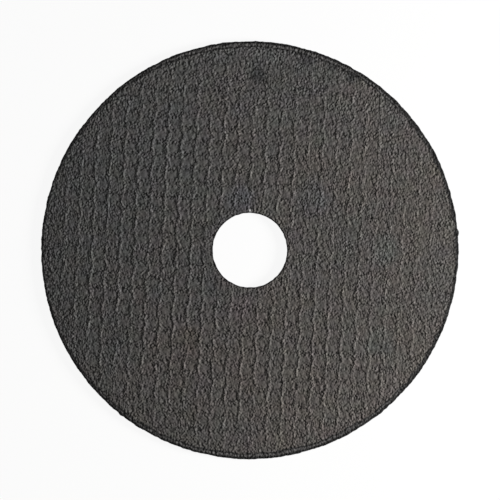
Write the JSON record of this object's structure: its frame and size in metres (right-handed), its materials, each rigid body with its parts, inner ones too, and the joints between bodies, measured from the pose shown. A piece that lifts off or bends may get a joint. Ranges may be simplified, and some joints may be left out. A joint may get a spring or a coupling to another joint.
{
  "type": "cut off wheel",
  "caption": "Flat resin bonded abrasive cut off wheel with a round arbour bore, a plain flange seat and the weave of its glass net standing out of both faces.",
  "frame": {"origin": "on the wheel's axis, in the plane of the underside that it rests on", "axes": "+Z along the bore, out of the face that the picture shows; +X to the right and +Y up in the picture"},
  "size_m": [0.125, 0.125, 0.0016],
  "materials": {
    "abrasive": "rough"
  },
  "bodies": {
    "root": {"cut_off_wheel": "abrasive"}
  },
  "joints": []
}
